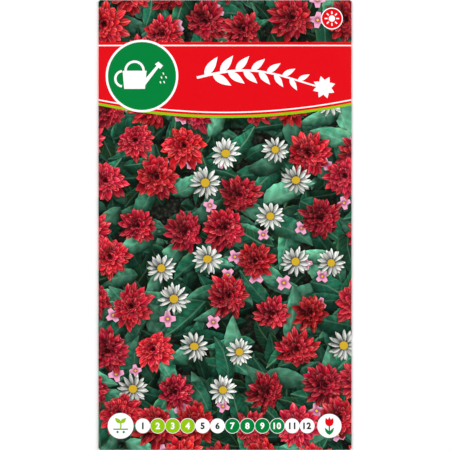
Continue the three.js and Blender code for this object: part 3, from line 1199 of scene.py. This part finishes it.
def web_height(x, y, is_front):
    """The middle of one web of the sachet, ribbed where the two are sealed together."""
    inward = np.minimum.reduce([x - SACHET_LOW.x, SACHET_HIGH.x - x, y - SACHET_LOW.y,
                                SACHET_HIGH.y - y])
    sealed = 1 - eased(SEAL - 0.4, SEAL, inward)
    on_end = np.minimum(y - SACHET_LOW.y, SACHET_HIGH.y - y) < SEAL
    ribs = np.sin(2 * math.pi * np.where(on_end, y, x) / CRIMP_PITCH)
    base = SACHET_Z + CRIMP_HEIGHT * sealed * ribs
    if not is_front:
        return base
    shut = base + FILM + WEB_GAP
    room = front_height(x, y, 0) - PAPER / 2 - CLEAR - FILM / 2
    return shut + (room - shut) * eased(SEAL, SEAL + SHOULDER, inward)


def web_stations(low, high):
    """Fine steps over the ribs of the two seals and coarse ones between them."""
    fine = CRIMP_PITCH / 6
    near = np.arange(low, low + SEAL, fine)
    far = np.arange(high, high - SEAL, -fine)[::-1]
    return np.concatenate([near, np.linspace(low + SEAL, high - SEAL, 30), far])


def sachet_mesh():
    x = web_stations(SACHET_LOW.x, SACHET_HIGH.x)
    y = web_stations(SACHET_LOW.y, SACHET_HIGH.y)
    across, along = (grid.ravel() for grid in np.meshgrid(x, y))
    i, j = (grid.ravel() for grid in np.meshgrid(range(len(x) - 1), range(len(y) - 1)))
    corner = j * len(x) + i
    quads = np.column_stack([corner, corner + 1, corner + len(x) + 1, corner + len(x)])
    webs = [np.column_stack([across, along, web_height(across, along, is_front)])
            for is_front in (False, True)]
    faces = np.vstack([quads, quads + len(across)])
    mesh = bpy.data.meshes.new("sachet")
    mesh.from_pydata((np.vstack(webs) * MM).tolist(), [], faces.tolist())
    mesh.shade_smooth()
    return mesh


def seed_tree():
    """One seed shape, blunt at one end and dimpled all over, on every point it is given.

    Each point of a seed keeps where it lay on the round ball as on_seed, for its coat's ribs.
    """
    tree = bpy.data.node_groups.new("seeds", "GeometryNodeTree")
    tree.interface.new_socket("Geometry", in_out="OUTPUT", socket_type="NodeSocketGeometry")
    tree.interface.new_socket("Places", in_out="INPUT", socket_type="NodeSocketGeometry")
    for name, default in (("Length", 3.1), ("Width", 2.1), ("Thickness", 1.5), ("Dimple", 0.08)):
        socket = tree.interface.new_socket(name, in_out="INPUT", socket_type="NodeSocketFloat")
        socket.default_value = default * MM
    given = add(tree, "NodeGroupInput").outputs
    size = add(tree, "ShaderNodeCombineXYZ", {0: given["Length"], 1: given["Width"],
                                              2: given["Thickness"]}).outputs[0]
    ball = add(tree, "GeometryNodeMeshIcoSphere", {"Radius": 0.5, "Subdivisions": 3})
    spot = add(tree, "GeometryNodeInputPosition").outputs[0]
    parts = add(tree, "ShaderNodeSeparateXYZ", {0: spot}).outputs
    forward = maths(tree, "MAXIMUM", parts[0], 0.0)
    narrow = maths(tree, "MULTIPLY_ADD", maths(tree, "POWER", forward, 2.0), -SEED_TAPER, 1.0)
    drawn = add(tree, "ShaderNodeCombineXYZ", {
        0: parts[0],
        1: maths(tree, "MULTIPLY", parts[1], narrow),
        2: maths(tree, "MULTIPLY", maths(tree, "MAXIMUM", parts[2], -SEED_FLAT), narrow),
    }).outputs[0]
    sized = add(tree, "ShaderNodeVectorMath", {0: drawn, 1: size}, operation="MULTIPLY").outputs[0]
    depth = maths(tree, "MULTIPLY", noise(tree, spot, 6.0, 1.0), given["Dimple"])
    inward = add(tree, "ShaderNodeVectorMath", {0: spot, "Scale": depth}, operation="SCALE")
    moved = add(tree, "ShaderNodeVectorMath", {0: sized, 1: inward.outputs[0]},
                operation="SUBTRACT").outputs[0]
    marked = add(tree, "GeometryNodeStoreNamedAttribute", {
        "Geometry": ball.outputs["Mesh"], "Name": "on_seed", "Value": spot},
        data_type="FLOAT_VECTOR").outputs[0]
    seed = add(tree, "GeometryNodeSetPosition", {"Geometry": marked, "Position": moved}).outputs[0]
    number = add(tree, "GeometryNodeInputIndex").outputs[0]
    turn = maths(tree, "MULTIPLY", number, number)
    spin = add(tree, "ShaderNodeCombineXYZ", {2: turn}).outputs[0]
    placed = add(tree, "GeometryNodeInstanceOnPoints", {
        "Points": given["Places"], "Instance": seed, "Rotation": spin}).outputs[0]
    real = add(tree, "GeometryNodeRealizeInstances", {0: placed}).outputs[0]
    smooth = add(tree, "GeometryNodeSetShadeSmooth", {"Geometry": real}).outputs[0]
    add(tree, "NodeGroupOutput", {"Geometry": smooth})
    return tree


def baked_mesh(holder, name):
    """The holder's evaluated mesh as a plain object, and the holder removed."""
    graph = bpy.context.evaluated_depsgraph_get()
    mesh = bpy.data.meshes.new_from_object(holder.evaluated_get(graph))
    bpy.data.objects.remove(holder)
    mesh.name = name
    made = bpy.data.objects.new(name, mesh)
    bpy.context.scene.collection.objects.link(made)
    return made


# ---------------------------------------------------------------- settings and operators
# The studio, in metres and watts
FLOOR_REACH = 1.5
CAMERA_AWAY = 1.6  # from the packet's rim, which fills the frame's height
SKY_STRENGTH = 0.09
LAMPS = (  # name, place, size and power
    ("key", (-0.55, 0.45, 0.62), 0.7, 6.2),
    ("fill", (0.62, 0.2, 0.55), 0.8, 5.0),
    ("front", (0.0, -0.72, 0.5), 0.8, 3.9),
)


class SeedPacketSettings(bpy.types.PropertyGroup):
    picture_seed: IntProperty(
        name="Picture seed", description="Lays out the flower pattern another way", default=7)
    waviness: FloatProperty(
        name="Waviness", description="How far handling has bent the front, in millimetres",
        default=0.12, min=0, max=0.4)
    detail: FloatProperty(
        name="Mesh gap", description="Largest step of the printed surfaces, in millimetres",
        default=2.0, min=1, max=6)
    sheen: FloatProperty(
        name="Sheen", description="Strength of the coated paper's reflection",
        default=0.12, min=0, max=1, subtype="FACTOR")
    dimple: FloatProperty(
        name="Dimple", description="Depth of the pits in a seed's coat, in millimetres",
        default=0.08, min=0, max=0.2)
    floor: FloatVectorProperty(
        name="Floor", description="Colour of the studio floor", subtype="COLOR", size=3,
        default=srgb("#ffffff"))


class SEEDPACKET_OT_front(bpy.types.Operator):
    """Prints the front and folds it over the packet's edges"""
    bl_idname = "seed_packet.front"
    bl_label = "Front of the envelope"

    def execute(self, context):
        settings = context.scene.seed_packet
        folded_x, folded_y = FRONT_X + SIDE_ARC, FRONT_Y + END_ARC
        quarter = np.array([
            (SIDE_REACH, BACK_END_Y), (folded_x, BACK_END_Y), (folded_x, FRONT_Y),
            (FRONT_X, FRONT_Y), (FRONT_X, folded_y), (FLAP_X, folded_y), (FLAP_X, END_REACH),
        ])
        half = np.vstack([quarter, quarter[::-1] * (-1, 1)])
        outline = np.vstack([half, half[::-1] * (1, -1)])
        gap = settings.detail
        guides = []
        for turn in range(FOLD_STEPS + 1):
            x = FRONT_X + SIDE_ARC * turn / FOLD_STEPS
            y = FRONT_Y + END_ARC * turn / FOLD_STEPS
            rows = np.linspace(-FRONT_Y, FRONT_Y, round(HEIGHT / gap))
            columns = np.linspace(-FRONT_X, FRONT_X, round(WIDTH / gap))
            for side in (-1, 1):
                guides.append(np.column_stack([np.full(len(rows), side * x), rows]))
                guides.append(np.column_stack([columns, np.full(len(columns), side * y)]))
        solid = Solid()
        add_sheet(solid, front_picture(settings), outline, guides, gap, lambda spots: spots,
                  settings.waviness, FRONT_MAP, FRONT_BARE_MAP)
        front = solid.made("envelope_front", all_inks(settings))
        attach(front, BODY)
        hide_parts("envelope")
        return {"FINISHED"}


def back_sheet(solid, picture, low, high, to_blank, gap, waviness, slot, guides=()):
    """Adds one panel or flap of the back; slot gives its place in the OFBake map."""
    outline = np.array(rectangle(low, high), float)
    if not len(guides):
        guides = [np.array([((low[0] + high[0]) / 2, y) for y in np.linspace(low[1], high[1], 5)])]
    box = np.array(((slot[0], slot[1]), (slot[0] + high[0] - low[0], slot[1] + high[1] - low[1])))
    bare = np.array(((BACK_MAP.x - 5, slot[2]), (BACK_MAP.x - 1, slot[2] + 40)))
    add_sheet(solid, picture, outline, guides, gap, to_blank, waviness,
              box / BACK_MAP.to_tuple(), bare / BACK_MAP.to_tuple())


class SEEDPACKET_OT_back(bpy.types.Operator):
    """Prints the back's two lapped panels and its two glued flaps, and folds them"""
    bl_idname = "seed_packet.back"
    bl_label = "Back of the envelope"

    def execute(self, context):
        settings = context.scene.seed_packet
        gap = 2 * settings.detail
        wave = settings.waviness
        turn_round = 2 * FRONT_X + SIDE_ARC
        turn_over = 2 * FRONT_Y + END_ARC
        start_x = FRONT_X - BLEED
        start_y = FRONT_Y - BLEED
        panels = back_picture()
        solid = Solid()
        back_sheet(solid, panels, (-start_x, -BACK_END_Y), (LAP, BACK_END_Y),
                   lambda spots: spots + (turn_round, 0), gap, wave, (1, 1, 1))
        steps = [np.array([(-x, y) for y in np.linspace(-BACK_END_Y, BACK_END_Y, 40)])
                 for x in np.linspace(-JOGGLE_FROM, -JOGGLE_TO, 5)]
        back_sheet(solid, panels, (-LAP, -BACK_END_Y), (start_x, BACK_END_Y),
                   lambda spots: spots - (turn_round, 0), gap, wave, (52, 1, 42), steps)
        for end, length, ink, row, bare in ((-1, BOTTOM_FLAP, "green", 161, 83),
                                            (1, TOP_FLAP, "red", 177, 124)):
            edge = end * (FRONT_Y - length)
            low, high = sorted((edge, end * start_y))
            back_sheet(solid, flap_picture(ink, edge, end), (-FLAP_X, low), (FLAP_X, high),
                       lambda spots, end=end: (0, end * turn_over) - spots, gap, wave,
                       (1, row, bare))
        back = solid.made("envelope_back", all_inks(settings))
        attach(back, BODY)
        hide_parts("envelope")
        return {"FINISHED"}


class SEEDPACKET_OT_glue(bpy.types.Operator):
    """Gives the three strips of adhesive their finish"""
    bl_idname = "seed_packet.glue"
    bl_label = "Adhesive strips"

    def execute(self, context):
        adhesive = dried_adhesive()
        for name in ("glue_back_seam", "glue_bottom_flap", "glue_top_flap"):
            for slot in bpy.data.objects[name].material_slots:
                slot.material = adhesive
        return {"FINISHED"}


class SEEDPACKET_OT_sachet(bpy.types.Operator):
    """Seals the two webs of the inner sachet along their four ribbed edges"""
    bl_idname = "seed_packet.sachet"
    bl_label = "Inner sachet"

    def execute(self, context):
        mesh = sachet_mesh()
        mesh.materials.append(glassine())
        holder = bpy.data.objects.new("sachet_webs", mesh)
        context.scene.collection.objects.link(holder)
        thicken = holder.modifiers.new("film", "SOLIDIFY")
        thicken.thickness = FILM * MM
        thicken.offset = 0
        sachet = baked_mesh(holder, "sachet")
        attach(sachet, BODY)
        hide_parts("sachet_back_web", "sachet_front_web")
        return {"FINISHED"}


class SEEDPACKET_OT_seeds(bpy.types.Operator):
    """Puts a dimpled, finely ribbed seed in the place of each plain one"""
    bl_idname = "seed_packet.seeds"
    bl_label = "Seeds"

    def execute(self, context):
        nodes = sorted(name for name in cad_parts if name.startswith("seed_"))
        mesh = bpy.data.meshes.new("seed_places")
        mesh.from_pydata([sum(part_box(name), Vector()) / 2 for name in nodes], [], [])
        holder = bpy.data.objects.new("seed_places", mesh)
        context.scene.collection.objects.link(holder)
        tree = seed_tree()
        scatter = holder.modifiers.new("seeds", "NODES")
        scatter.node_group = tree
        sockets = {item.name: item.identifier for item in tree.interface.items_tree}
        scatter[sockets["Dimple"]] = context.scene.seed_packet.dimple * MM
        seeds = baked_mesh(holder, "seeds")
        seeds.data.materials.clear()  # of the empty slot that the ball comes with
        seeds.data.materials.append(seed_coat())
        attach(seeds, BODY)
        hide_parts(*nodes)
        return {"FINISHED"}


class SEEDPACKET_OT_stage(bpy.types.Operator):
    """Sets the pale floor, the soft lights and a camera that looks straight down"""
    bl_idname = "seed_packet.stage"
    bl_label = "Stage, lights and camera"

    def execute(self, context):
        floor = bpy.data.meshes.new("floor")
        corners = rectangle((-FLOOR_REACH, -FLOOR_REACH), (FLOOR_REACH, FLOOR_REACH))
        floor.from_pydata([(x, y, 0) for x, y in corners], [], [(0, 1, 2, 3)])
        material, tree = new_material("studio_floor")
        finish(tree, {"Base Color": (*context.scene.seed_packet.floor, 1), "Roughness": 0.9,
                      "Specular IOR Level": 0.1})
        floor.materials.append(material)
        ground = bpy.data.objects.new("floor", floor)
        context.scene.collection.objects.link(ground)

        for name, place, size, power in LAMPS:
            lamp = bpy.data.lights.new(name, "AREA")
            lamp.size = size
            lamp.energy = power
            light = bpy.data.objects.new(name, lamp)
            light.location = place
            light.rotation_euler = (-Vector(place)).to_track_quat("-Z", "Y").to_euler()
            context.scene.collection.objects.link(light)

        world = bpy.data.worlds.new("studio")
        world.use_nodes = True
        sky = world.node_tree.nodes["Background"].inputs
        sky["Color"].default_value = (1, 1, 1, 1)
        sky["Strength"].default_value = SKY_STRENGTH
        context.scene.world = world
        context.scene.view_settings.view_transform = "Standard"

        camera = bpy.data.cameras.new("camera")
        camera.sensor_width = 36
        camera.lens = camera.sensor_width * CAMERA_AWAY / (HEIGHT * MM)
        view = bpy.data.objects.new("camera", camera)
        view.location = (0, 0, CAMERA_AWAY + RIM_Z * MM)
        context.scene.collection.objects.link(view)
        context.scene.camera = view
        return {"FINISHED"}


class SEEDPACKET_PT_panel(bpy.types.Panel):
    """Lists the packet's settings and the pieces to make"""
    bl_label = "Seed packet"
    bl_idname = "SEEDPACKET_PT_panel"
    bl_space_type = "VIEW_3D"
    bl_region_type = "UI"
    bl_category = "Seed packet"

    def draw(self, context):
        settings = context.scene.seed_packet
        for name in ("picture_seed", "waviness", "detail", "sheen", "dimple", "floor"):
            self.layout.prop(settings, name)
        for operator in OPERATORS:
            self.layout.operator(operator.bl_idname)


OPERATORS = (
    SEEDPACKET_OT_front,
    SEEDPACKET_OT_back,
    SEEDPACKET_OT_glue,
    SEEDPACKET_OT_sachet,
    SEEDPACKET_OT_seeds,
    SEEDPACKET_OT_stage,
)
CLASSES = (SeedPacketSettings, *OPERATORS, SEEDPACKET_PT_panel)


def register():
    for cls in CLASSES:
        bpy.utils.register_class(cls)
    bpy.types.Scene.seed_packet = PointerProperty(type=SeedPacketSettings)


def unregister():
    del bpy.types.Scene.seed_packet
    for cls in reversed(CLASSES):
        bpy.utils.unregister_class(cls)


def main():
    register()
    bpy.ops.seed_packet.front()
    bpy.ops.seed_packet.back()
    bpy.ops.seed_packet.glue()
    bpy.ops.seed_packet.sachet()
    bpy.ops.seed_packet.seeds()
    bpy.ops.seed_packet.stage()


if __name__ == "__main__":
    main()
